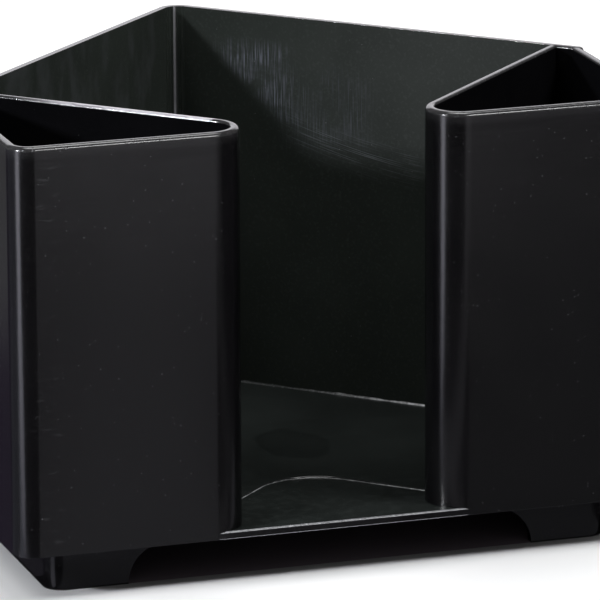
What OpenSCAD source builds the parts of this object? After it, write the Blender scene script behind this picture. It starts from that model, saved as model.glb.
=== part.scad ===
// Bar caddy bent from plastic sheet: a napkin bay with an open front corner between two straw columns,
// on an inset plinth. The front is at -Y, and the origin is on the table under the middle of the caddy.

/* [Napkin bay] */
// Inside length of each side of the square bay
bay_side = 131.5; // [110:0.5:160]
// Distance between the bay's two inner walls, if they ran on to the front plane
mouth_gap = 29.4; // [20:0.2:60]

/* [Walls] */
// Thickness of the wall sheet
wall_t = 2.8; // [2:0.1:4]
// Height of the wall sheets
wall_h = 124.5; // [80:0.5:180]
// Width of rear wall that shows inside each straw column
column_strip = 3.8; // [1:0.1:20]
// Outside radius of the rear wall's bend
rear_r = 7.2; // [5:0.1:14]
// Outside radius of the narrow bend beside the mouth
tip_r = 10.5; // [6:0.1:14]
// Outside radius of the bend at the front corner
corner_r = 7; // [5:0.1:14]

/* [Floors] */
// Thickness of the floor plates
floor_t = 2.4; // [1.5:0.1:5]
// Width of the cement line round each let-in plate and butted edge
cement = 0.15; // [0.05:0.05:0.3]
// Thickness of the napkin riser
riser_t = 0.5; // [0.4:0.1:2]
// How far the napkin riser reaches from each rear wall
riser_reach = 83; // [60:1:100]
// Radius of the riser's cut-away corner
riser_r = 19; // [5:1:30]

/* [Base skirt] */
// Height of the skirt
skirt_h = 14.8; // [13:0.1:30]
// Thickness of the skirt sheet
skirt_t = 2.8; // [2:0.1:4]
// How far the skirt stands in from the walls
skirt_inset = 12.6; // [8:0.1:20]
// Outside radius of the skirt's bends
skirt_r = 6; // [5:0.5:12]
// Width of the front arch
arch_w = 128; // [60:1:140]
// Height of the front arch
arch_h = 12; // [6:0.5:12.5]
// Radius of the arch's upper corners
arch_r = 12; // [1:0.5:12]

/* [Hidden] */
$fn = 96;
sheet_colour = [0.07, 0.07, 0.08];
// Room by which a cutting shape passes the face that it cuts
past = 1;
// Hair by which an arc passes the straight edges beside it, so that the two fuse
fuse = 0.002;
diagonal = sqrt(2);
// Depths are measured back from the front plane, where the side walls are square to the front
// and the rear walls slope at 45 degrees to a ridge line on the caddy's middle.
rear_in = bay_side * diagonal - mouth_gap / 2;
rear_out = rear_in + wall_t * diagonal;
half_w = (bay_side + wall_t) / diagonal + column_strip + wall_t;
depth = rear_out - rear_r * (diagonal - 1);
floor_top = skirt_h + floor_t;

// Direction of a vector, with length one
function unit(v) = v / norm(v);

// Item of a closed list, counted round past either end
function item(list, i) = list[(i + len(list)) % len(list)];

// Half of the angle inside corner b of an outline
function half_angle(a, b, c) = acos(unit(a - b) * unit(c - b)) / 2;

// Both ends of the arc that rounds corner b
function arc_ends(a, b, c, r) =
    let (setback = r / tan(half_angle(a, b, c)))
    [b + setback * unit(a - b), b + setback * unit(c - b)];

// Centre of the arc that rounds corner b
function arc_centre(a, b, c, r) =
    b + unit(unit(a - b) + unit(c - b)) * r / sin(half_angle(a, b, c));

// Convex outline with its own radius at each corner, where 0 leaves the corner sharp
module rounded_outline(corners, radii) {
    last = len(corners) - 1;
    polygon([
        for (i = [0 : last])
            for (end = radii[i] > 0
                ? arc_ends(item(corners, i - 1), corners[i], item(corners, i + 1), radii[i])
                : [corners[i]])
                end
    ]);
    for (i = [0 : last])
        if (radii[i] > 0)
            translate(arc_centre(item(corners, i - 1), corners[i], item(corners, i + 1), radii[i]))
                circle(radii[i] + fuse);
}

// Sheet or plate of a plan outline, from height z up, set so that the caddy's middle is at the origin
module sheet(z, height)
    color(sheet_colour)
        translate([0, -depth / 2, z])
            linear_extrude(height)
                children();

// Five-sided plan with a 45 degree rear, moved in from the outer faces of the walls
function house(inset) =
    let (half = half_w - inset, ridge = rear_out - inset * diagonal)
    [[-half, inset], [half, inset], [half, ridge - half], [0, ridge], [-half, ridge - half]];

// Plan of the right straw column, moved in from its outer faces, and cut off at the rear
// by a 45 degree line that meets the caddy's middle at depth rear
module column_plan(inset, rear) {
    inner_line = mouth_gap / 2 + inset * diagonal;
    side = half_w - inset;
    corners = [
        [inner_line + inset, inset],
        [side, inset],
        [side, rear - side],
        [(rear + inner_line) / 2, (rear - inner_line) / 2]
    ];
    rounded_outline(corners, [tip_r - inset, corner_r - inset, 0, 0]);
}

// Bent sheet of the right straw column, with both free ends butted on the rear wall
module column_wall()
    sheet(skirt_h, wall_h)
        difference() {
            column_plan(0, rear_in - cement * diagonal);
            column_plan(wall_t, rear_in + past);
        }

// Floor plate of the right straw column
module column_floor()
    sheet(skirt_h, floor_t)
        column_plan(wall_t + cement, rear_in - cement * diagonal);

// Plan of what fills the bay from the front plane to the rear wall, clear of both columns
module bay_plan() {
    ridge = rear_in - cement * diagonal;
    side = bay_side / diagonal;
    tip_x = mouth_gap / 2 + tip_r * (1 + diagonal);
    difference() {
        rounded_outline(
            [[-tip_x, 0], [tip_x, 0], [side, ridge - side], [0, ridge], [-side, ridge - side]],
            [0, 0, 0, rear_r - wall_t - cement, 0]
        );
        for (side_of_caddy = [0, 1])
            mirror([side_of_caddy, 0])
                column_plan(-cement, rear_in + past);
    }
}

// Cut-away corner at the front of the napkin riser, as wide as the caddy
module finger_plan() {
    ridge = rear_in - riser_reach * diagonal;
    front = ridge - half_w;
    rounded_outline([[-half_w, front], [half_w, front], [0, ridge]], [0, 0, riser_r]);
}

module rear_wall() {
    foot = rear_in - half_w - past;
    cut_half_w = half_w + 2 * past;
    sheet(skirt_h, wall_h)
        difference() {
            rounded_outline(
                [
                    [-half_w, foot], [half_w, foot],
                    [half_w, rear_out - half_w], [0, rear_out], [-half_w, rear_out - half_w]
                ],
                [0, 0, 0, rear_r, 0]
            );
            rounded_outline(
                [[-cut_half_w, rear_in - cut_half_w], [cut_half_w, rear_in - cut_half_w], [0, rear_in]],
                [0, 0, rear_r - wall_t]
            );
        }
}

module left_column_wall()
    mirror([1, 0, 0])
        column_wall();

module right_column_wall()
    column_wall();

module bay_floor()
    sheet(skirt_h, floor_t)
        bay_plan();

module left_column_floor()
    mirror([1, 0, 0])
        column_floor();

module right_column_floor()
    column_floor();

module napkin_riser()
    sheet(floor_top, riser_t)
        difference() {
            bay_plan();
            finger_plan();
        }

module base_skirt()
    difference() {
        sheet(0, skirt_h)
            difference() {
                rounded_outline(house(skirt_inset), [for (i = [1 : 5]) skirt_r]);
                rounded_outline(house(skirt_inset + skirt_t), [for (i = [1 : 5]) skirt_r - skirt_t]);
            }
        translate([0, skirt_inset + skirt_t + past - depth / 2, 0])
            rotate([90, 0, 0])
                linear_extrude(skirt_t + 2 * past)
                    rounded_outline(
                        [
                            [-arch_w / 2, -arch_r - past], [arch_w / 2, -arch_r - past],
                            [arch_w / 2, arch_h], [-arch_w / 2, arch_h]
                        ],
                        [0, 0, arch_r, arch_r]
                    );
    }

rear_wall();
left_column_wall();
right_column_wall();
bay_floor();
left_column_floor();
right_column_floor();
napkin_riser();
base_skirt();
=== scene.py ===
import math
import bmesh
import bpy
from mathutils import Matrix, Vector


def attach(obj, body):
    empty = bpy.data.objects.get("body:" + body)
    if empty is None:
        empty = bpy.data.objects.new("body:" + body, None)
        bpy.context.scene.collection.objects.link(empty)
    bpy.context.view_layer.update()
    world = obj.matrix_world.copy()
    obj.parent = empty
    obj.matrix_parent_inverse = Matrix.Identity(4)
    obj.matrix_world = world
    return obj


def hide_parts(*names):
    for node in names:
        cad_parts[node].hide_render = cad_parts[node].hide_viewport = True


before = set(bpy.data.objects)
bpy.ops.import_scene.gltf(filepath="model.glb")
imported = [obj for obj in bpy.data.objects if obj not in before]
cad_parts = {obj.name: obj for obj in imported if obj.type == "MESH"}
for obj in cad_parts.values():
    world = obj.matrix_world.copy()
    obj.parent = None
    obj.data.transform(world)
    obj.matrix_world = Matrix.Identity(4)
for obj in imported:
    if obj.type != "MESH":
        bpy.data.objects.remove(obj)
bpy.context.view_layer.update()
scene = bpy.context.scene

# Sizes of the caddy in millimetres, as in the part's source
MM = 0.001
ROOT2 = math.sqrt(2)
BAY_SIDE = 131.5
MOUTH_GAP = 29.4
WALL_T = 2.8
WALL_H = 124.5
COLUMN_STRIP = 3.8
REAR_R = 7.2
TIP_R = 10.5
CORNER_R = 7.0
FLOOR_T = 2.4
CEMENT = 0.15
RISER_T = 0.5
RISER_REACH = 83.0
RISER_R = 19.0
SKIRT_H = 14.8
SKIRT_T = 2.8
SKIRT_INSET = 12.6
SKIRT_R = 6.0
ARCH_W = 128.0
ARCH_H = 12.0
ARCH_R = 12.0

# Lines of the plan, heights and centres of bends that follow from them
MOUTH_LINE = MOUTH_GAP / 2
REAR_IN = BAY_SIDE * ROOT2 - MOUTH_LINE
REAR_OUT = REAR_IN + WALL_T * ROOT2
RISER_RIDGE = REAR_IN - RISER_REACH * ROOT2
HALF_W = (BAY_SIDE + WALL_T) / ROOT2 + COLUMN_STRIP + WALL_T
DEPTH = REAR_OUT - REAR_R * (ROOT2 - 1)
FLOOR_TOP = SKIRT_H + FLOOR_T
RISER_TOP = FLOOR_TOP + RISER_T
WALL_TOP = SKIRT_H + WALL_H
TIP_CENTRE = Vector((MOUTH_LINE + TIP_R * (1 + ROOT2), TIP_R))
CORNER_CENTRE = Vector((HALF_W - CORNER_R, CORNER_R))

# Rounding of the flamed sheet edges
RIM_OUT_R = 1.35
RIM_IN_R = 0.8
REAR_OUT_R = 1.1
REAR_IN_R = 0.15
LOW_R = 0.15
SILL_TOP_R = 0.5
SILL_LOW_R = 0.28
RISER_TOP_R = 0.2
RISER_LOW_R = 0.05
COLUMN_FLOOR_R = 0.1

# Hair between plates and the walls round them, where the cement fills the joint
SEAM = 0.02
# Hair by which the ridge stays inside the CAD box
RIDGE_EASE = 0.02
# Half of the strip of rear wall behind each column wall's end, along either axis
BEHIND_WALL = 0.5

# Cement beads: how far they sink into the sheets, the pace of points along them, and how far along either
# axis they stop from the rear corners and from the bends beside the mouth
BEAD_SINK = 0.01
BEAD_PACE = 1.2
BEAD_REAR_GAP = 1.0
BEAD_FRONT_GAP = 6.0
# Waves that make a bead uneven: their lengths and shares, and the shift from one bead to the next
BEAD_WAVES = ((31.0, 0.34), (11.3, 0.3), (4.7, 0.22), (2.3, 0.14))
BEAD_SHIFT = 12.9

# Strips of faces: degrees of bend to one, and how many make an edge, an end of the arch and the floor's mouth
BEND_STEP = 3.0
EDGE_STEPS = 5
ARCH_STEPS = 12
MOUTH_STEPS = 32
# Degrees between faces from which an edge is shown sharp
SHARP_ANGLE = 40.0
# How far large faces keep their own shading at the edges they share with small ones
NORMAL_WEIGHT = 100

# Places in a sheet's list of materials: the outer face, the inner face and the rim, and for the inner face of
# the rear wall also its bend, the strips inside the columns and the painted highlight down the ridge
OUTSIDE, INSIDE, RIM, TURN, IN_COLUMN, RIDGE_HIGHLIGHT = range(6)
# Spans of the rear wall's bend that carry the painted highlight of the ridge
HIGHLIGHT_FIRST = 14
HIGHLIGHT_SPANS = 3
# Places in a plate's list of materials, after the one for its flat faces: the upright edge, and its upper and
# lower rounding
UPRIGHT, UPPER, LOWER = 1, 2, 3

# Camera fitted to the photograph
CAMERA_PLACE = (-0.59679, -1.85639, 0.58477)
CAMERA_AZIMUTH = -18.225
CAMERA_ELEVATION = 14.966
CAMERA_ROLL = -0.239
CAMERA_LENS = 391.42
CAMERA_NEAR = 0.05
CAMERA_FAR = 50.0
SENSOR_WIDTH = 36.0

# Tones of the bay's sheet and of the marks
BAY_SHADE = (0.024, 0.0285, 0.025)
DUST = (0.2, 0.2, 0.21, 1.0)
# Painted sheen: the pale tone that lightens the outer faces just under the rim
RIM_SHEEN = (0.2, 0.2, 0.21, 1.0)
BRUSHED = (0.05, 0.05, 0.053, 1.0)
SCUFF = (0.13, 0.13, 0.14, 1.0)
SMEAR = (0.045, 0.049, 0.05, 1.0)
# Rubs, with the light they catch painted into their pale tone
LIT_RUB = (0.15, 0.158, 0.195, 1.0)
SCRATCH = (0.12, 0.13, 0.14, 1.0)
PALE_BAND = (0.5, 0.48, 0.52, 1.0)
CHIP = (0.16, 0.16, 0.17, 1.0)
CLEAR_CEMENT = (0.025, 0.028, 0.027, 1.0)
# Pale end of the cement: its frost, and the painted highlight to the right
FROST_AND_GLINT_CEMENT = (0.8, 0.81, 0.83, 1.0)
WHITE = (1.0, 1.0, 1.0, 1.0)
BLACK = (0.0, 0.0, 0.0, 1.0)

# Places of the marks in millimetres: limits along one axis, from low to high
BRUSHED_Z = (85.0, 130.0)
SCUFFED_X = (88.0, 95.5)
# Painted sheen just under the rim
RIM_SHEEN_Z = (WALL_TOP - 4.5, WALL_TOP - 1.0)
SMEARED_X = (-12.0, -4.0)
DENSE_RUBS_X = (12.5, 28.5)
DENSE_RUBS_Z = (100.0, 128.5)
THIN_RUBS_X = (28.0, 49.0)
THIN_RUBS_Z = (99.0, 122.0)
SCRATCHED_X = (29.0, 62.0)
SCRATCHED_SWEEP = (98.5, 107.0)
MOTTLED_Y = (-62.0, -40.0)
# Painted light: where the rear of the floor turns paler
PAINTED_LIGHT_REAR_Y = (-45.0, -15.0)
PALE_BAND_ACROSS = (14.0, 19.5)
PALE_BAND_START = (17.0, 17.8)
PALE_BAND_END = (47.0, 65.0)
# The cement grows paler to the right of a slanting line, a painted highlight: its slope, and the limits of
# the distance from it
CEMENT_SLOPE = 0.33
CEMENT_GLINT_RANGE = (-20.0, 34.0)
# The rubs end along a slanting line, a painted shadow edge: its slope, and the limits of height plus slope
RUBS_SHADOW_SLOPE = 1.11
RUBS_SHADOW_EDGE = (134.5, 140.0)
# The sweep of scratches: its middle, slope and sag
SWEEP_X = 31.0
SWEEP_SLOPE = 0.41
SWEEP_SAG = 0.0041
# Middle and half sizes of the dull oval on the bay's floor
SMUDGE_X = 10.0
SMUDGE_Y = -5.5
SMUDGE_HALF_W = 11.0
SMUDGE_HALF_L = 17.0

# Limits between which most values of a noise lie
NOISE_RANGE = (0.3, 0.7)
# Depths in millimetres of the sheets' slight waviness and of the cement's lumps
WAVY = 0.012
LUMPY = 0.05
# Share of a dust speck that is solid, and the softness of the choice of cells that hold one
SPECK_CORE = 0.4
SPECK_CHOICE = 0.02
# Turn of the stretched highlights on the sheets, as a share of a full turn
HIGHLIGHT_TURN = 0.25

# Stage floor: half its width in metres, its shade and its glow
FLOOR_REACH = 6.0
FLOOR_SHADE = (0.9, 0.9, 0.9)
FLOOR_GLOW = 0.4
# Distance from the middle in millimetres over which the floor's glow comes in
GLOW_RANGE = (95.0, 330.0)
# Height of the mat in millimetres
MAT_LEVEL = 0.2
# Painted shade: the mat's tone, darker than the floor, under the caddy
MAT_SHADE = (0.42, 0.35, 0.4)
# Roughness of the stage's surfaces
MATT = 0.9
WORLD_STRENGTH = 0.1

# Cards on the floor that reflections alone see: name, plan and level in metres, shade, and whether the card
# glows with its shade as one even tone, also in the caddy's shadow
CARDS = [
    ("dark_card", [(-3, -3), (3, -3), (3, 3), (-3, 3)], 0.0004, (0.012, 0.011, 0.013), False),
    ("right_card", [(0.0365, -0.11), (0.27, -0.9), (0.42, -0.9), (0.1087, -0.11)],
     0.0008, (0.046, 0.046, 0.049), False),
    ("grey_card", [(-0.0935, -0.11), (0.14, -0.9), (0.24, -0.9), (-0.0295, -0.11)],
     0.0012, (0.118, 0.116, 0.126), False),
    ("far_card", [(0.0, -0.5), (0.2, -0.5), (0.3, -1.0), (0.1, -1.0)], 0.0016, (0.32, 0.315, 0.335), False),
    ("far_right_card", [(0.2, -0.5), (0.36, -0.5), (0.5, -1.0), (0.3, -1.0)],
     0.0016, (0.13, 0.128, 0.137), False),
    ("sill_card", [(-0.035, -0.124), (0.03, -0.124), (0.039, -0.144), (-0.025, -0.144)],
     0.0018, (0.12, 0.118, 0.125), False),
    ("base_card", [(-0.087, -0.11), (0.1, -0.11), (0.1, -0.0735), (-0.087, -0.0735)],
     0.0005, (0.13, 0.13, 0.145), True),
    ("near_left_card", [(-0.02, -0.093), (-0.153, -0.1045), (-0.153, -0.118), (-0.03, -0.099)],
     0.0024, (0.2, 0.197, 0.23), False),
    ("left_card", [(-0.153, -0.1045), (-0.25, -0.1125), (-0.25, -0.177), (-0.153, -0.118)],
     0.0024, (0.5, 0.49, 0.57), False),
    ("outer_card", [(-0.25, -0.1125), (-0.54, -0.1355), (-0.54, -0.295), (-0.25, -0.177)],
     0.0024, (0.6, 0.59, 0.67), False),
    ("far_left_card", [(-0.54, -0.1355), (-1.0, -0.172), (-1.0, -0.48), (-0.54, -0.295)],
     0.0024, (2.0, 1.97, 2.2), True),
    ("foot_card", [(-0.0875, -0.0722), (-0.15, -0.0765), (-0.145, -0.108), (-0.0885, -0.0742)],
     0.0006, (0.55, 0.54, 0.63), True),
    ("skirt_side_card", [(-0.104, -0.06), (-0.0865, -0.06), (-0.0865, 0.06), (-0.104, 0.06)],
     0.001, (0.03, 0.028, 0.036), True),
    ("side_card", [(-0.105, -0.06), (-0.65, 0.5), (-0.103, 0.5)], 0.0008, (0.04, 0.032, 0.052), True),
    ("left_fan_card", [(-0.105, -0.075), (-0.75, -0.09), (-0.75, 0.5), (-0.65, 0.5), (-0.105, -0.06)],
     0.0008, (0.107, 0.11, 0.134), True),
    ("halo_card", [(-0.11, -0.084), (-0.75, -0.09), (-0.75, -0.152), (-0.25, -0.1125), (-0.12, -0.1015)],
     0.001, (0.3, 0.31, 0.38), True),
    ("rear_card", [(-0.1, 0.09), (0.1, 0.09), (0.6, 0.9), (-0.6, 0.9)], 0.001, (0.12, 0.12, 0.125), False),
    ("right_side_card", [(0.103, -0.02), (0.5, 0.0), (0.5, 0.5), (0.103, 0.1)],
     0.001, (0.12, 0.12, 0.125), False),
]

NEUTRAL = (1.0, 1.0, 1.0)
# Lamps: name, place, target, width and height in metres, power in watts, colour, and the rays that leave it
# out
LAMPS = [
    ("overhead", (0.1, 0.1, 1.4), (0, 0, 0.05), (0.7, 0.7), 7.5, NEUTRAL, "none"),
    ("front", (0.6, -0.55, 1.12), (0, 0, 0.08), (0.35, 0.35), 9.0, NEUTRAL, "glossy"),
    ("fill", (-0.69, -0.28, 1.15), (0, 0, 0.08), (0.5, 0.5), 4.5, NEUTRAL, "glossy"),
    ("edge_lamp", (0.38, -1.12, 0.76), (0, -0.08, 0.1), (0.36, 0.2), 3.4, NEUTRAL, "diffuse"),
    ("behind", (0.75, 2.0, 0.75), (0, 0, 0.1), (2.4, 1.0), 9.5, (0.97, 0.95, 1.0), "none"),
    ("left_lamp", (-0.60, -0.235, 0.306), (0, 0, 0.08), (0.045, 0.045), 2.35, (0.93, 0.95, 1.0), "none"),
]


def place(x, v, z):
    """A point of the plan, v behind the front plane, as a point of the frame in metres."""
    return Vector((x * MM, (v - DEPTH / 2) * MM, z * MM))


def crossing(rear, line):
    """Where a rear line of the plan, which meets the middle at depth rear, crosses a line along the bay's
    right side, which meets the front plane at a distance line from the middle."""
    return Vector(((rear + line) / 2, (rear - line) / 2))


def mirrored(points):
    """Points of the plan on the other side of the middle."""
    return [Vector((-p.x, p.y)) for p in points]


def mirrored_stations(stations):
    return [mirrored(pair) for pair in stations]


def bend(centre, outer_r, inner_r, start, end, steps=0):
    """Stations of a bend: pairs of an outer and an inner point, from one angle in degrees to another."""
    steps = steps or max(2, round(abs(end - start) / BEND_STEP))
    stations = []
    for i in range(steps + 1):
        angle = math.radians(start + (end - start) * i / steps)
        way = Vector((math.cos(angle), math.sin(angle)))
        stations.append((centre + way * outer_r, centre + way * inner_r))
    return stations


def arc_points(centre, radius, start, end, steps=0):
    """Points along an arc, from one angle in degrees to another."""
    return [station[0] for station in bend(centre, radius, radius, start, end, steps)]


def column_stations():
    """Stations along the right column's sheet, from its free end at the side to its free end in the bay."""
    rear = REAR_IN - CEMENT * ROOT2
    side_in = HALF_W - WALL_T
    side_end = (Vector((HALF_W, rear - HALF_W)), Vector((side_in, rear - side_in)))
    bay_end = (crossing(rear, MOUTH_LINE), crossing(rear, MOUTH_LINE + WALL_T * ROOT2))
    stations = [side_end]
    stations += bend(CORNER_CENTRE, CORNER_R, CORNER_R - WALL_T, 0, -90)
    stations += bend(TIP_CENTRE, TIP_R, TIP_R - WALL_T, -90, -225)
    stations.append(bay_end)
    return stations


def rear_stations():
    """Stations along the rear wall, from its left end round the ridge to its right end, with two behind the
    edge of each column's wall, and the rounding of the inner upper edge at each."""
    ridge = Vector((0, REAR_OUT - REAR_R * ROOT2))
    right_end = (Vector((HALF_W, REAR_OUT - HALF_W)), Vector((HALF_W, REAR_IN - HALF_W)))
    wall_middle = MOUTH_LINE + WALL_T * ROOT2 / 2
    behind_wall = crossing(REAR_IN, wall_middle)
    through = Vector((WALL_T, WALL_T)) / ROOT2
    along = Vector((BEHIND_WALL, -BEHIND_WALL))
    right_ends = [(p + through, p) for p in (behind_wall - along, behind_wall + along)]
    right_ends.append(right_end)
    left_ends = mirrored_stations(right_ends)[::-1]
    turn = bend(ridge, REAR_R - RIDGE_EASE, REAR_R - WALL_T, 135, 45)
    end_radii = [RIM_IN_R, RIM_IN_R]
    radii = end_radii + [REAR_IN_R] * (len(turn) + 2) + end_radii
    return left_ends + turn + right_ends, radii


def rear_inside_materials(station_count):
    """Place in the list of materials for the inner face of each span of the rear wall."""
    ends = [IN_COLUMN, IN_COLUMN, INSIDE]
    turn = [TURN] * (station_count - 1 - 2 * len(ends))
    turn[HIGHLIGHT_FIRST:HIGHLIGHT_FIRST + HIGHLIGHT_SPANS] = [RIDGE_HIGHLIGHT] * HIGHLIGHT_SPANS
    return ends + turn + ends[::-1]


def skirt_stations():
    """Stations round the skirt, with the height of its lower edge at each, from the front right corner on."""
    half = HALF_W - SKIRT_INSET
    front = SKIRT_INSET
    ridge = REAR_OUT - SKIRT_INSET * ROOT2
    shoulder = SKIRT_R * math.tan(math.radians(45 / 2))
    side = half - SKIRT_R
    bends = [
        (Vector((side, front + SKIRT_R)), -90, 0),
        (Vector((side, ridge - half - shoulder)), 0, 45),
        (Vector((0, ridge - SKIRT_R * ROOT2)), 45, 135),
        (Vector((-side, ridge - half - shoulder)), 135, 180),
        (Vector((-side, front + SKIRT_R)), 180, 270),
    ]
    stations = []
    lower = []
    for centre, start, end in bends:
        turn = bend(centre, SKIRT_R, SKIRT_R - SKIRT_T, start, end)
        stations += turn
        lower += [0.0] * len(turn)
    # The arch rises in a quarter circle at each end
    arch = []
    for i in range(ARCH_STEPS + 1):
        angle = math.radians(i * 90 / ARCH_STEPS)
        arch.append((-ARCH_W / 2 + ARCH_R * (1 - math.cos(angle)), ARCH_R * math.sin(angle)))
    arch += [(-x, z) for x, z in reversed(arch)]
    for x, z in arch:
        stations.append((Vector((x, front)), Vector((x, front + SKIRT_T))))
        lower.append(min(z, ARCH_H))
    return stations, lower


def quarter(radius, turn):
    """Offsets along a quarter circle, across the sheet and up: at a low edge out to the face, or at a high
    edge in from the face."""
    spots = []
    for i in range(EDGE_STEPS + 1):
        angle = math.radians(90 * i / EDGE_STEPS)
        if turn == "low":
            spots.append((radius * (1 - math.sin(angle)), radius * (1 - math.cos(angle))))
        else:
            spots.append((radius * (1 - math.cos(angle)), -radius * (1 - math.sin(angle))))
    return spots


def edge_levels(low, high, low_r, high_r):
    """Insets and heights up the rounded edge of a sheet or plate."""
    levels = [(inset, low + z) for inset, z in quarter(low_r, "low")]
    levels += [(inset, high + z) for inset, z in quarter(high_r, "high")]
    return levels


def edge_profile(thickness, low, high, out_r, in_r):
    """Closed cross-section of a sheet, as shares of the thickness and heights: up the outer face and down the
    inner one."""
    outside = [(inset / thickness, z) for inset, z in edge_levels(low, high, LOW_R, out_r)]
    inside = [((thickness - inset) / thickness, z) for inset, z in edge_levels(low, high, LOW_R, in_r)]
    return outside + inside[::-1]


def join_rings(made, rings, closed=False, flip=False):
    """Adds the faces between each ring of points and the next, and between the last and the first if closed
    or else on both ends. A mirrored piece has its corners flipped. Gives each face between rings with its
    span and its place round the ring."""
    spans = list(zip(rings, rings[1:]))
    if closed:
        spans.append((rings[-1], rings[0]))
    count = len(rings[0])
    joined = []
    for span, (first, second) in enumerate(spans):
        for i in range(count):
            after = (i + 1) % count
            corners = [first[i], first[after], second[after], second[i]]
            face = made.faces.new(corners[::-1] if flip else corners)
            joined.append((span, i, face))
    if not closed:
        made.faces.new(rings[0] if flip else rings[0][::-1])
        made.faces.new(rings[-1][::-1] if flip else rings[-1])
    return joined


def finish_mesh(name, mesh_data, materials, nodes=()):
    """Turns mesh data into a piece that rides with the caddy."""
    mesh = bpy.data.meshes.new(name)
    mesh_data.to_mesh(mesh)
    mesh_data.free()
    for material in materials:
        mesh.materials.append(material)
    mesh.polygons.foreach_set("use_smooth", [True] * len(mesh.polygons))
    mesh.set_sharp_from_angle(angle=math.radians(SHARP_ANGLE))
    piece = bpy.data.objects.new(name, mesh)
    scene.collection.objects.link(piece)
    weighted = piece.modifiers.new("even_normals", "WEIGHTED_NORMAL")
    weighted.mode = "FACE_AREA"
    weighted.weight = NORMAL_WEIGHT
    weighted.keep_sharp = True
    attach(piece, "root")
    if nodes:
        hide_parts(*nodes)


def add_strip(name, node, materials, stations, lows, high, thickness, out_r, in_radii,
              inside=None, closed=False, flip=False):
    """A sheet that follows its stations. Where a list is given, it names the inner material of each span."""
    made = bmesh.new()
    rings = []
    for (outer, inner), low, in_r in zip(stations, lows, in_radii):
        ring = []
        for share, z in edge_profile(thickness, low, high, out_r, in_r):
            spot = outer.lerp(inner, share)
            ring.append(made.verts.new(place(spot.x, spot.y, z)))
        rings.append(ring)
    # Up the outer face, over the rim with both its roundings, and down the inner face
    last_outside = EDGE_STEPS
    last_rim = 3 * EDGE_STEPS + 1
    for span, i, face in join_rings(made, rings, closed, flip):
        if i <= last_outside:
            face.material_index = OUTSIDE
        elif i <= last_rim:
            face.material_index = RIM
        else:
            face.material_index = inside[span] if inside else INSIDE
    bmesh.ops.recalc_face_normals(made, faces=made.faces)
    finish_mesh(name, made, materials, [node])


def add_plate(name, node, materials, outline_at, low, high, low_r, high_r):
    """A flat plate whose outline is given at each inset of its rounded edge."""
    made = bmesh.new()
    rings = []
    for inset, z in edge_levels(low, high, low_r, high_r):
        rings.append([made.verts.new(place(p.x, p.y, z)) for p in outline_at(inset)])
    for level, _, face in join_rings(made, rings):
        if level < EDGE_STEPS:
            face.material_index = LOWER
        elif level == EDGE_STEPS:
            face.material_index = UPRIGHT
        else:
            face.material_index = UPPER
    finish_mesh(name, made, materials, [node])


def bay_sides(front_right):
    """The bay's outline behind its front: right side, ridge and left side, from the front right corner on."""
    ridge = REAR_IN - SEAM * ROOT2
    right = crossing(ridge, MOUTH_LINE - SEAM * ROOT2)
    ridge_r = REAR_R - WALL_T - SEAM
    turn = arc_points(Vector((0, ridge - ridge_r * ROOT2)), ridge_r, 45, 135)
    right_side = front_right + [right]
    return right_side + turn + mirrored(right_side)[::-1]


def bay_outline(inset):
    """Outline of the bay's floor, with its front edge moved in."""
    radius = TIP_R + SEAM
    start = -90 - math.degrees(math.acos((TIP_R - inset) / radius))
    return bay_sides(arc_points(TIP_CENTRE, radius, start, -225, MOUTH_STEPS))


def riser_outline(inset):
    """Outline of the napkin riser, with its front edge moved in."""
    front_right = crossing(RISER_RIDGE + inset * ROOT2, MOUTH_LINE - SEAM * ROOT2)
    apex = arc_points(Vector((0, RISER_RIDGE - RISER_R * ROOT2)), RISER_R + inset, 135, 45)
    return apex + bay_sides([front_right])


def column_floor_outline(inset):
    """Outline of the right column's floor. Its edges are all hidden in the walls, so the inset that a plate's
    outline is given changes nothing."""
    gap = WALL_T + SEAM
    rear = REAR_IN - SEAM * ROOT2
    side = HALF_W - gap
    points = arc_points(TIP_CENTRE, TIP_R - gap, -225, -90)
    points += arc_points(CORNER_CENTRE, CORNER_R - gap, -90, 0)
    points.append(Vector((side, rear - side)))
    points.append(crossing(rear, MOUTH_LINE + gap * ROOT2))
    return points


def left_column_floor_outline(inset):
    return mirrored(column_floor_outline(inset))[::-1]


def uneven(along, seed):
    """A smooth uneven value from 0 to 1 along a joint, the same on each run."""
    total = 0.0
    for wave, share in BEAD_WAVES:
        total += share * math.sin(along * 2 * math.pi / wave + seed * BEAD_SHIFT + wave)
    return 0.5 + 0.5 * total


def add_bead(name, material, path, level, least, most, seed):
    """A hollow fillet of cement along a joint. The path lists points and the ways out from the wall."""
    made = bmesh.new()
    rings = []
    along = 0.0
    last = path[0][0]
    for point, way in path:
        along += (point - last).length
        last = point
        size = least + (most - least) * uneven(along, seed)
        section = [(-BEAD_SINK, -BEAD_SINK), (size, -BEAD_SINK)]
        section += quarter(size, "low")
        section.append((-BEAD_SINK, size))
        ring = []
        for out, up in section:
            spot = point + way * out
            ring.append(made.verts.new(place(spot.x, spot.y, level + up)))
        rings.append(ring)
    join_rings(made, rings)
    bmesh.ops.recalc_face_normals(made, faces=made.faces)
    finish_mesh(name, made, [material])


def joint_path(start, end):
    """Close points along a straight joint and the ways out from its wall, which lies on the right."""
    along = (end - start).normalized()
    way = Vector((-along.y, along.x))
    steps = max(1, round((end - start).length / BEAD_PACE))
    return [(start.lerp(end, i / steps), way) for i in range(steps + 1)]


def turned_joint_path(right, centre, radius):
    """A joint that runs in from the right, round an arc on the middle and out to the left."""
    turn = arc_points(centre, radius, 45, 135)
    path = joint_path(right, turn[0])
    path += [(p, (centre - p).normalized()) for p in turn[1:-1]]
    path += joint_path(turn[-1], mirrored([right])[0])
    return path


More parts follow.
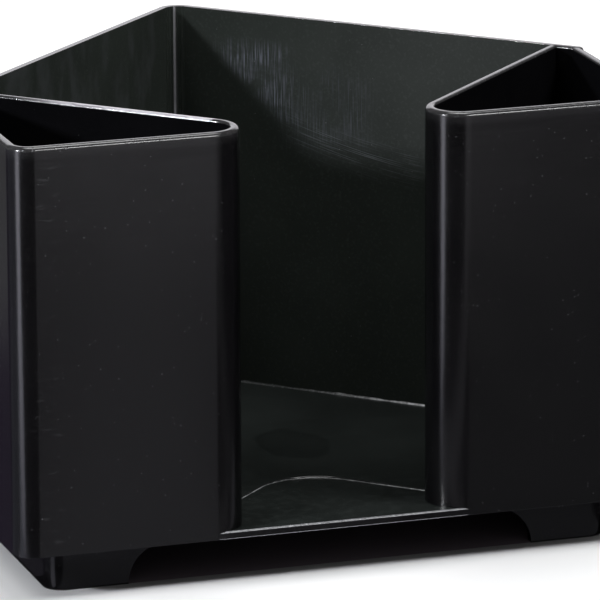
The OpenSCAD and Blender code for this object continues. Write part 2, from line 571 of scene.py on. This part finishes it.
def rear_joint_path():
    """The joint of the rear wall and the riser."""
    inner_r = REAR_R - WALL_T
    return turned_joint_path(crossing(REAR_IN, MOUTH_LINE), Vector((0, REAR_IN - inner_r * ROOT2)), inner_r)


def step_joint_path():
    """The joint of the riser's front edge and the bay's floor."""
    right = crossing(RISER_RIDGE, MOUTH_LINE - SEAM * ROOT2)
    return turned_joint_path(right, Vector((0, RISER_RIDGE - RISER_R * ROOT2)), RISER_R)


def side_joint_ends():
    """The front and the rear end of the joint between the right column's wall and the bay's floor."""
    start = TIP_R * (1 + ROOT2 / 2) + BEAD_FRONT_GAP
    front_end = Vector((MOUTH_LINE + start, start))
    rear_end = crossing(REAR_IN, MOUTH_LINE) - Vector((BEAD_REAR_GAP, BEAD_REAR_GAP))
    return front_end, rear_end


def right_joint_path():
    front_end, rear_end = side_joint_ends()
    return joint_path(front_end, rear_end)


def left_joint_path():
    front_end, rear_end = mirrored(side_joint_ends())
    return joint_path(rear_end, front_end)


class Board:
    """The nodes of one material, with short calls to add them."""

    def __init__(self, name):
        self.material = bpy.data.materials.new(name)
        self.material.use_nodes = True
        self.tree = self.material.node_tree
        self.shader = self.tree.nodes["Principled BSDF"]

    def put(self, socket, value):
        """Links a node's output to a socket, or sets the socket to a plain value."""
        if isinstance(value, bpy.types.NodeSocket):
            self.tree.links.new(value, socket)
        else:
            socket.default_value = value

    def node(self, kind, inputs, **settings):
        made = self.tree.nodes.new(kind)
        for key, value in settings.items():
            setattr(made, key, value)
        for key, value in inputs.items():
            self.put(made.inputs[key], value)
        return made

    def math(self, operation, first, second=0.0):
        return self.node("ShaderNodeMath", {0: first, 1: second}, operation=operation).outputs[0]

    def plus(self, first, second):
        return self.math("ADD", first, second)

    def minus(self, first, second):
        return self.math("SUBTRACT", first, second)

    def times(self, first, second):
        return self.math("MULTIPLY", first, second)

    def span(self, value, limits, results=(0.0, 1.0)):
        """The value's place between two limits, smoothly from one result to the other."""
        inputs = {0: value, 1: limits[0], 2: limits[1], 3: results[0], 4: results[1]}
        return self.node("ShaderNodeMapRange", inputs, interpolation_type="SMOOTHSTEP").outputs[0]

    def window(self, value, limits, soft):
        """1 between two limits and 0 outside them, with soft ends."""
        low, high = limits
        rise = self.span(value, (low - soft, low + soft))
        fall = self.span(value, (high - soft, high + soft), (1.0, 0.0))
        return self.times(rise, fall)

    def vector(self, x, y, z):
        return self.node("ShaderNodeCombineXYZ", {0: x, 1: y, 2: z}).outputs[0]

    def spot(self):
        """The place on the object in millimetres."""
        metres = self.node("ShaderNodeTexCoord", {}).outputs["Object"]
        return self.node("ShaderNodeVectorMath", {0: metres, "Scale": 1.0 / MM}, operation="SCALE").outputs[0]

    def parts(self, vector):
        """The three parts of a vector."""
        parts = self.node("ShaderNodeSeparateXYZ", {0: vector}).outputs
        return parts[0], parts[1], parts[2]

    def stretched(self, vector, shares):
        """A vector with each part multiplied by its own share."""
        return self.node("ShaderNodeVectorMath", {0: vector, 1: shares}, operation="MULTIPLY").outputs[0]

    def noise(self, vector, scale, detail):
        inputs = {"Vector": vector, "Scale": scale, "Detail": detail}
        return self.node("ShaderNodeTexNoise", inputs).outputs[0]

    def cloud(self, vector, scale, detail, results=(0.0, 1.0)):
        """Soft clouds from one result to another."""
        return self.span(self.noise(vector, scale, detail), NOISE_RANGE, results)

    def blend(self, factor, first, second):
        """A colour between two others."""
        made = self.node("ShaderNodeMix", {0: factor}, data_type="RGBA")
        self.put(made.inputs[6], first)
        self.put(made.inputs[7], second)
        return made.outputs[2]

    def dust(self, spot, pace, size, share):
        """Sparse specks: a small dot in a share of the cells of a given pace."""
        cells = self.node("ShaderNodeTexVoronoi", {"Vector": spot, "Scale": 1.0 / pace, "Randomness": 1.0})
        dot = self.span(cells.outputs["Distance"], (SPECK_CORE * size / pace, size / pace), (1.0, 0.0))
        number = self.node("ShaderNodeSeparateColor", {0: cells.outputs["Color"]}).outputs[0]
        chosen = self.span(number, (1.0 - share, 1.0 - share + SPECK_CHOICE))
        return self.times(dot, chosen)

    def stretch_highlights(self, amount):
        """Stretches the highlights round the upright axis."""
        self.shader.inputs["Anisotropic"].default_value = amount
        self.shader.inputs["Anisotropic Rotation"].default_value = HIGHLIGHT_TURN
        tangent = self.node("ShaderNodeTangent", {}, direction_type="RADIAL", axis="Z")
        self.put(self.shader.inputs["Tangent"], tangent.outputs[0])

    def bump(self, height, depth):
        """Raises the surface by a height from 0 to 1 times a depth in millimetres."""
        inputs = {"Height": height, "Strength": 1.0, "Distance": depth * MM}
        self.put(self.shader.inputs["Normal"], self.node("ShaderNodeBump", inputs).outputs[0])

    def finish(self, colour, roughness, gloss):
        self.put(self.shader.inputs["Base Color"], colour)
        self.put(self.shader.inputs["Roughness"], roughness)
        self.shader.inputs["Specular IOR Level"].default_value = gloss
        return self.material


def tone(colour, share):
    """A colour made darker or paler."""
    return (colour[0] * share, colour[1] * share, colour[2] * share, 1.0)


def outer_material(name, colour, gloss):
    """Glossy sheet outside: faint clouds, fine level brushing, short pale scuffs by the corner, dust and a
    painted sheen just under the rim.
    """
    board = Board(name)
    spot = board.spot()
    x, _, z = board.parts(spot)
    cloud = board.cloud(spot, scale=0.022, detail=3.0)
    shade = board.blend(cloud, tone(colour, 0.85), tone(colour, 1.15))
    # Brushing, which is stronger towards the top
    lines = board.noise(board.stretched(spot, (0.03, 1.0, 4.0)), scale=1.0, detail=3.0)
    brushed = board.times(board.span(lines, (0.45, 0.75), (0.0, 0.12)), board.span(z, BRUSHED_Z, (0.1, 1.0)))
    shade = board.blend(brushed, shade, BRUSHED)
    # Scuffs beside both front corners
    by_corner = board.window(board.math("ABSOLUTE", x), SCUFFED_X, soft=3.5)
    dashes = board.noise(board.stretched(spot, (0.22, 1.0, 0.9)), scale=1.0, detail=4.0)
    scuffed = board.times(by_corner, board.span(dashes, (0.57, 0.72), (0.0, 0.13)))
    shade = board.blend(scuffed, shade, SCUFF)
    # Painted sheen: the outer faces grow a little paler just under the rim
    shade = board.blend(board.span(z, RIM_SHEEN_Z, (0.0, 0.05)), shade, RIM_SHEEN)
    shade = board.blend(board.dust(spot, pace=1.7, size=0.13, share=0.5), shade, tone(DUST, 1.4))
    board.stretch_highlights(0.4)
    board.bump(board.noise(spot, scale=0.35, detail=2.0), WAVY)
    roughness = board.cloud(spot, scale=0.05, detail=4.0, results=(0.2, 0.24))
    return board.finish(shade, roughness, gloss)


def bay_material(colour, gloss):
    """Glossy sheet inside the bay, scuffed in use: upright rubs with painted light, a sweep of level
    scratches and smears.
    """
    board = Board("bay_sheet")
    spot = board.spot()
    x, _, z = board.parts(spot)
    cloud = board.cloud(spot, scale=0.03, detail=4.0)
    shade = board.blend(cloud, tone(colour, 0.9), tone(colour, 1.1))
    haze = board.noise(spot, scale=1.1, detail=4.0)
    shade = board.blend(board.span(haze, (0.5, 0.72), (0.0, 0.35)), shade, tone(colour, 1.9))
    # Smears on the left wall
    smears = board.noise(board.stretched(spot, (0.16, 0.16, 0.06)), scale=1.0, detail=6.0)
    smeared = board.times(board.span(smears, (0.42, 0.68), (0.0, 0.7)), board.span(x, SMEARED_X, (1.0, 0.0)))
    shade = board.blend(smeared, shade, SMEAR)
    # Upright rubs in patches, dense at the left and thin at the right; their pale tone is partly painted
    # highlight, and the dense ones stop at a painted shadow edge along a slanting line
    strokes = board.noise(board.stretched(spot, (3.0, 0.0, 0.09)), scale=1.0, detail=4.0)
    patches = board.noise(board.vector(x, 5.0, z), scale=0.12, detail=3.0)
    lit_side = board.span(board.plus(z, board.times(x, RUBS_SHADOW_SLOPE)), RUBS_SHADOW_EDGE)
    dense = board.times(board.window(x, DENSE_RUBS_X, soft=4.0), board.window(z, DENSE_RUBS_Z, soft=4.0))
    dense = board.times(board.times(dense, lit_side), 0.95)
    thin = board.times(board.window(x, THIN_RUBS_X, soft=4.0), board.window(z, THIN_RUBS_Z, soft=6.0))
    thin = board.times(thin, 0.2)
    rubs = board.times(board.span(strokes, (0.42, 0.74)), board.span(patches, (0.3, 0.52)))
    shade = board.blend(board.times(rubs, board.plus(dense, thin)), shade, LIT_RUB)
    # Sweep of level scratches that sinks to the right
    aside = board.minus(x, SWEEP_X)
    sag = board.times(board.times(aside, aside), SWEEP_SAG)
    sweep = board.minus(board.plus(z, board.times(aside, SWEEP_SLOPE)), sag)
    line_at = board.vector(board.times(sweep, 3.0), 3.0, board.times(x, 0.07))
    lines = board.noise(line_at, scale=1.0, detail=3.0)
    band = board.times(board.window(sweep, SCRATCHED_SWEEP, soft=4.0), board.window(x, SCRATCHED_X, soft=3.5))
    scratches = board.times(board.span(lines, (0.52, 0.7)), band)
    shade = board.blend(board.times(scratches, 0.7), shade, SCRATCH)
    shade = board.blend(board.dust(spot, pace=3.0, size=0.14, share=0.4), shade, DUST)
    board.stretch_highlights(0.9)
    board.bump(board.noise(spot, scale=0.35, detail=2.0), WAVY)
    roughness = board.cloud(spot, scale=0.06, detail=4.0, results=(0.3, 0.36))
    return board.finish(shade, roughness, gloss)


def inside_material(name, colour, roughness, gloss, ior=1.5):
    """Glossy sheet that is hardly touched: faint clouds, a fine haze and some dust."""
    board = Board(name)
    spot = board.spot()
    cloud = board.cloud(spot, scale=0.04, detail=4.0)
    shade = board.blend(cloud, tone(colour, 0.85), tone(colour, 1.15))
    haze = board.noise(spot, scale=1.3, detail=4.0)
    shade = board.blend(board.span(haze, (0.5, 0.72), (0.0, 0.3)), shade, tone(colour, 1.9))
    shade = board.blend(board.dust(spot, pace=3.5, size=0.14, share=0.4), shade, tone(DUST, 0.6))
    board.shader.inputs["IOR"].default_value = ior
    board.bump(board.noise(spot, scale=0.3, detail=2.0), WAVY)
    rough = board.cloud(spot, scale=0.09, detail=3.0, results=(roughness * 0.9, roughness * 1.1))
    return board.finish(shade, rough, gloss)


def floor_material(colour, roughness, gloss):
    """Glossy plate with the smudges of use: soft clouds, a mottle that is stronger at the mouth and a dull
    oval, with painted light that makes the rear paler."""
    board = Board("floor_sheet")
    spot = board.spot()
    x, y, _ = board.parts(spot)
    cloud = board.cloud(spot, scale=0.05, detail=4.0)
    shade = board.blend(cloud, tone(colour, 0.85), tone(colour, 1.15))
    mottle = board.span(board.noise(spot, scale=0.3, detail=5.0), (0.42, 0.68), (0.0, 0.4))
    mottle = board.times(mottle, board.span(y, MOTTLED_Y, (1.0, 0.45)))
    shade = board.blend(mottle, shade, tone(colour, 1.9))
    # Painted light: the rear of the floor turns paler
    shade = board.blend(board.span(y, PAINTED_LIGHT_REAR_Y, (0.0, 0.25)), shade, tone(colour, 2.0))
    # Dull oval that is darkest along its wavering edge
    across = board.math("DIVIDE", board.minus(x, SMUDGE_X), SMUDGE_HALF_W)
    along = board.math("DIVIDE", board.minus(y, SMUDGE_Y), SMUDGE_HALF_L)
    reach = board.math("SQRT", board.plus(board.times(across, across), board.times(along, along)))
    waver = board.times(board.noise(spot, scale=0.12, detail=4.0), 0.65)
    reach = board.plus(reach, board.minus(waver, 0.33))
    edge = board.times(board.window(reach, (0.85, 0.95), soft=0.12), 0.35)
    oval = board.plus(board.span(reach, (0.8, 1.05), (0.3, 0.0)), edge)
    shade = board.blend(oval, shade, tone(colour, 0.45))
    shade = board.blend(board.dust(spot, pace=2.4, size=0.14, share=0.5), shade, DUST)
    board.bump(board.noise(spot, scale=0.3, detail=2.0), WAVY)
    rough = board.cloud(spot, scale=0.09, detail=3.0, results=(roughness * 0.85, roughness * 1.2))
    return board.finish(shade, rough, gloss)


def rim_material(name, colour, roughness, gloss, marks):
    """Polished sheet edge with slanted saw marks of a depth in millimetres and some chips, paler in a band
    along the top of the left column's bay wall."""
    board = Board(name)
    spot = board.spot()
    x, y, z = board.parts(spot)
    slant = board.plus(board.plus(x, board.times(y, 0.8)), board.times(z, 0.4))
    waver = board.times(board.noise(spot, scale=0.25, detail=2.0), 3.0)
    saw = board.noise(board.vector(board.plus(slant, waver), 0.0, 0.0), scale=0.9, detail=3.0)
    shade = board.blend(board.span(saw, (0.35, 0.7)), tone(colour, 0.7), tone(colour, 1.6))
    # A paler band on the top of the left column's bay wall
    depth = board.plus(y, DEPTH / 2)
    across = board.minus(board.times(x, -1.0), depth)
    stretch = board.times(board.span(depth, PALE_BAND_START), board.span(depth, PALE_BAND_END, (1.0, 0.0)))
    banded = board.times(board.window(across, PALE_BAND_ACROSS, soft=0.5), stretch)
    banded = board.times(banded, board.span(saw, (0.25, 0.6), (0.35, 1.0)))
    shade = board.blend(banded, shade, PALE_BAND)
    chips = board.span(board.noise(spot, scale=1.1, detail=2.0), (0.66, 0.74))
    shade = board.blend(board.times(chips, 0.5), shade, CHIP)
    board.bump(board.plus(saw, board.times(chips, -0.6)), marks)
    rough = board.span(saw, NOISE_RANGE, (roughness * 0.75, roughness * 1.4))
    return board.finish(shade, rough, gloss)


def cement_material(name, at_left):
    """Dried solvent cement: a patchy frosty line, with a painted highlight that makes it paler to the right,
    from a given share of pale at the left."""
    board = Board(name)
    spot = board.spot()
    x, y, _ = board.parts(spot)
    lumps = board.noise(spot, scale=1.3, detail=3.0)
    patchy = board.span(board.noise(spot, scale=0.5, detail=3.0), (0.35, 0.65), (0.35, 1.0))
    depth = board.plus(y, DEPTH / 2)
    rightward = board.minus(x, board.times(depth, CEMENT_SLOPE))
    frost_and_glint = board.times(patchy, board.span(rightward, CEMENT_GLINT_RANGE, (at_left, 1.0)))
    shade = board.blend(frost_and_glint, CLEAR_CEMENT, FROST_AND_GLINT_CEMENT)
    board.bump(lumps, LUMPY)
    return board.finish(shade, board.span(lumps, NOISE_RANGE, (0.1, 0.3)), 1.0)


def stage_material(name, shade):
    """A matt surface of the stage."""
    return Board(name).finish((*shade, 1.0), MATT, 0.0)


def floor_stage_material(name, shade, glow):
    """A matt surface with a glow that whitens it away from the object, for the eye and for mirrors alone,
    and lights nothing."""
    board = Board(name)
    path = board.node("ShaderNodeLightPath", {}).outputs
    seen = board.plus(path["Is Camera Ray"], path["Is Glossy Ray"])
    seen = board.math("MINIMUM", board.plus(seen, path["Is Transmission Ray"]), 1.0)
    away = board.node("ShaderNodeVectorMath", {0: board.spot()}, operation="LENGTH").outputs["Value"]
    strength = board.times(seen, board.span(away, GLOW_RANGE, (0.0, glow)))
    board.shader.inputs["Emission Color"].default_value = WHITE
    board.put(board.shader.inputs["Emission Strength"], strength)
    return board.finish((*shade, 1.0), MATT, 0.0)


def glowing_material(name, shade):
    """A surface of the stage that glows with one even tone, also in the object's shadow."""
    board = Board(name)
    board.shader.inputs["Emission Color"].default_value = (*shade, 1.0)
    board.shader.inputs["Emission Strength"].default_value = 1.0
    return board.finish(BLACK, MATT, 0.0)


def add_camera():
    azimuth = math.radians(CAMERA_AZIMUTH)
    elevation = math.radians(CAMERA_ELEVATION)
    roll = math.radians(CAMERA_ROLL)
    back = Vector((
        math.sin(azimuth) * math.cos(elevation),
        -math.cos(azimuth) * math.cos(elevation),
        math.sin(elevation),
    ))
    level = Vector((math.cos(azimuth), math.sin(azimuth), 0))
    upright = back.cross(level)
    right = level * math.cos(roll) + upright * math.sin(roll)
    up = upright * math.cos(roll) - level * math.sin(roll)
    data = bpy.data.cameras.new("camera")
    data.lens = CAMERA_LENS
    data.sensor_width = SENSOR_WIDTH
    data.clip_start = CAMERA_NEAR
    data.clip_end = CAMERA_FAR
    camera = bpy.data.objects.new("camera", data)
    camera.matrix_world = Matrix.Translation(CAMERA_PLACE) @ Matrix((right, up, back)).transposed().to_4x4()
    scene.collection.objects.link(camera)
    scene.camera = camera


def add_world():
    world = bpy.data.worlds.new("studio")
    scene.world = world
    world.use_nodes = True
    background = world.node_tree.nodes["Background"]
    background.inputs["Color"].default_value = WHITE
    background.inputs["Strength"].default_value = WORLD_STRENGTH


def add_sheet(name, corners, material):
    """A flat sheet of the stage."""
    mesh = bpy.data.meshes.new(name)
    mesh.from_pydata(corners, [], [tuple(range(len(corners)))])
    mesh.materials.append(material)
    sheet = bpy.data.objects.new(name, mesh)
    scene.collection.objects.link(sheet)
    return sheet


def add_floor():
    reach = FLOOR_REACH
    corners = [(-reach, -reach, 0), (reach, -reach, 0), (reach, reach, 0), (-reach, reach, 0)]
    add_sheet("floor", corners, floor_stage_material("pale_floor", FLOOR_SHADE, FLOOR_GLOW))


def add_mat():
    """Painted shade: a dark mat inside the skirt's foot, which keeps the hollow under the arch dark."""
    inset = SKIRT_INSET + SKIRT_T
    half = HALF_W - inset
    ridge = REAR_OUT - inset * ROOT2
    shoulder = ridge - half
    plan = [(-half, SKIRT_INSET), (half, SKIRT_INSET), (half, shoulder), (0, ridge), (-half, shoulder)]
    corners = [place(x, v, MAT_LEVEL) for x, v in plan]
    add_sheet("mat", corners, stage_material("painted_shade_mat", MAT_SHADE))


def add_card(name, plan, level, shade, even):
    """A card that lies on the floor. Only reflections see it."""
    material = glowing_material(name, shade) if even else stage_material(name, shade)
    card = add_sheet(name, [(x, y, level) for x, y in plan], material)
    card.visible_camera = False
    card.visible_diffuse = False
    card.visible_transmission = False
    card.visible_volume_scatter = False
    card.visible_shadow = False


def add_lamp(name, where, target, size, power, colour, left_out_by):
    data = bpy.data.lights.new(name, "AREA")
    data.shape = "RECTANGLE"
    data.size, data.size_y = size
    data.energy = power
    data.color = colour
    lamp = bpy.data.objects.new(name, data)
    lamp.location = where
    lamp.rotation_euler = (Vector(target) - Vector(where)).to_track_quat("-Z", "Y").to_euler()
    lamp.visible_camera = False
    lamp.visible_glossy = left_out_by != "glossy"
    lamp.visible_diffuse = left_out_by != "diffuse"
    scene.collection.objects.link(lamp)


def add_walls():
    """The three bent wall sheets."""
    column_sheets = [outer_sheet, inner_sheet, rim_sheet]
    column = column_stations()
    column_low = [SKIRT_H] * len(column)
    column_radii = [RIM_IN_R] * len(column)
    add_strip(
        "right_column_sheet", "right_column_wall", column_sheets,
        column, column_low, WALL_TOP, WALL_T, RIM_OUT_R, column_radii,
    )
    add_strip(
        "left_column_sheet", "left_column_wall", column_sheets,
        mirrored_stations(column), column_low, WALL_TOP, WALL_T, RIM_OUT_R, column_radii, flip=True,
    )
    rear, rear_radii = rear_stations()
    add_strip(
        "rear_sheet", "rear_wall",
        [outer_sheet, bay_sheet, rim_sheet, bend_sheet, inner_sheet, ridge_highlight],
        rear, [SKIRT_H] * len(rear), WALL_TOP, WALL_T, REAR_OUT_R, rear_radii,
        inside=rear_inside_materials(len(rear)),
    )


def add_skirt():
    skirt, skirt_low = skirt_stations()
    add_strip(
        "skirt_ring", "base_skirt", [skirt_face] * 3,
        skirt, skirt_low, SKIRT_H, SKIRT_T, LOW_R, [LOW_R] * len(skirt), closed=True,
    )


def add_floors():
    """The bay's floor, the riser on it and both columns' floors."""
    add_plate(
        "bay_floor_plate", "bay_floor", [floor_sheet, outer_sheet, sill_upper_highlight, sill_lower_highlight],
        bay_outline, SKIRT_H, FLOOR_TOP, SILL_LOW_R, SILL_TOP_R,
    )
    add_plate(
        "riser_plate", "napkin_riser", [floor_sheet, floor_sheet, edge_sheet, floor_sheet],
        riser_outline, FLOOR_TOP, RISER_TOP, RISER_LOW_R, RISER_TOP_R,
    )
    add_plate(
        "right_floor_plate", "right_column_floor", [inner_sheet] * 4,
        column_floor_outline, SKIRT_H, FLOOR_TOP, COLUMN_FLOOR_R, COLUMN_FLOOR_R,
    )
    add_plate(
        "left_floor_plate", "left_column_floor", [inner_sheet] * 4,
        left_column_floor_outline, SKIRT_H, FLOOR_TOP, COLUMN_FLOOR_R, COLUMN_FLOOR_R,
    )


def add_beads():
    """Cement along the joints of the floor."""
    add_bead(
        "rear_joint_bead", cement, rear_joint_path(), RISER_TOP,
        least=0.25, most=0.8, seed=1,
    )
    add_bead(
        "step_bead", step_cement, step_joint_path(), FLOOR_TOP,
        least=0.14, most=0.24, seed=2,
    )
    add_bead(
        "right_joint_bead", cement, right_joint_path(), FLOOR_TOP,
        least=0.55, most=0.9, seed=3,
    )
    add_bead(
        "left_joint_bead", cement, left_joint_path(), FLOOR_TOP,
        least=0.55, most=0.9, seed=4,
    )


add_camera()
add_world()
add_floor()
add_mat()
for card_values in CARDS:
    add_card(*card_values)
for lamp_values in LAMPS:
    add_lamp(*lamp_values)

outer_sheet = outer_material("outer_sheet", (0.0024, 0.0022, 0.0027), gloss=1.0)
skirt_face = outer_material("skirt_sheet", (0.004, 0.0038, 0.0044), gloss=0.5)
bay_sheet = bay_material(BAY_SHADE, gloss=0.08)
bend_sheet = inside_material("bay_bend", BAY_SHADE, roughness=0.1, gloss=1.0, ior=1.7)
# Painted highlight: a pale strip down the ridge's bend stands for the thin line of light reflected there
ridge_highlight = inside_material("ridge_highlight", (0.205, 0.203, 0.217), roughness=0.2, gloss=0.5)
inner_sheet = inside_material("column_inside", (0.004, 0.004, 0.0046), roughness=0.12, gloss=0.12)
rim_sheet = rim_material("rim", (0.02, 0.02, 0.021), roughness=0.16, gloss=1.0, marks=0.05)
edge_sheet = rim_material("plate_edge", (0.02, 0.021, 0.02), roughness=0.1, gloss=1.0, marks=0.02)
# Painted highlights: the sill's upper and lower roundings get pale tones that stand for the bright lines of
# light along them
sill_upper_highlight = rim_material("sill_upper_edge", (0.16, 0.16, 0.17), roughness=0.12, gloss=1.0, marks=0.02)
sill_lower_highlight = rim_material("sill_lower_edge", (0.24, 0.24, 0.26), roughness=0.2, gloss=1.0, marks=0.02)
floor_sheet = floor_material((0.0132, 0.0154, 0.0146), roughness=0.22, gloss=0.15)
cement = cement_material("cement", at_left=0.05)
step_cement = cement_material("step_cement", at_left=0.5)

add_walls()
add_skirt()
add_floors()
add_beads()

scene.view_settings.view_transform = "Standard"
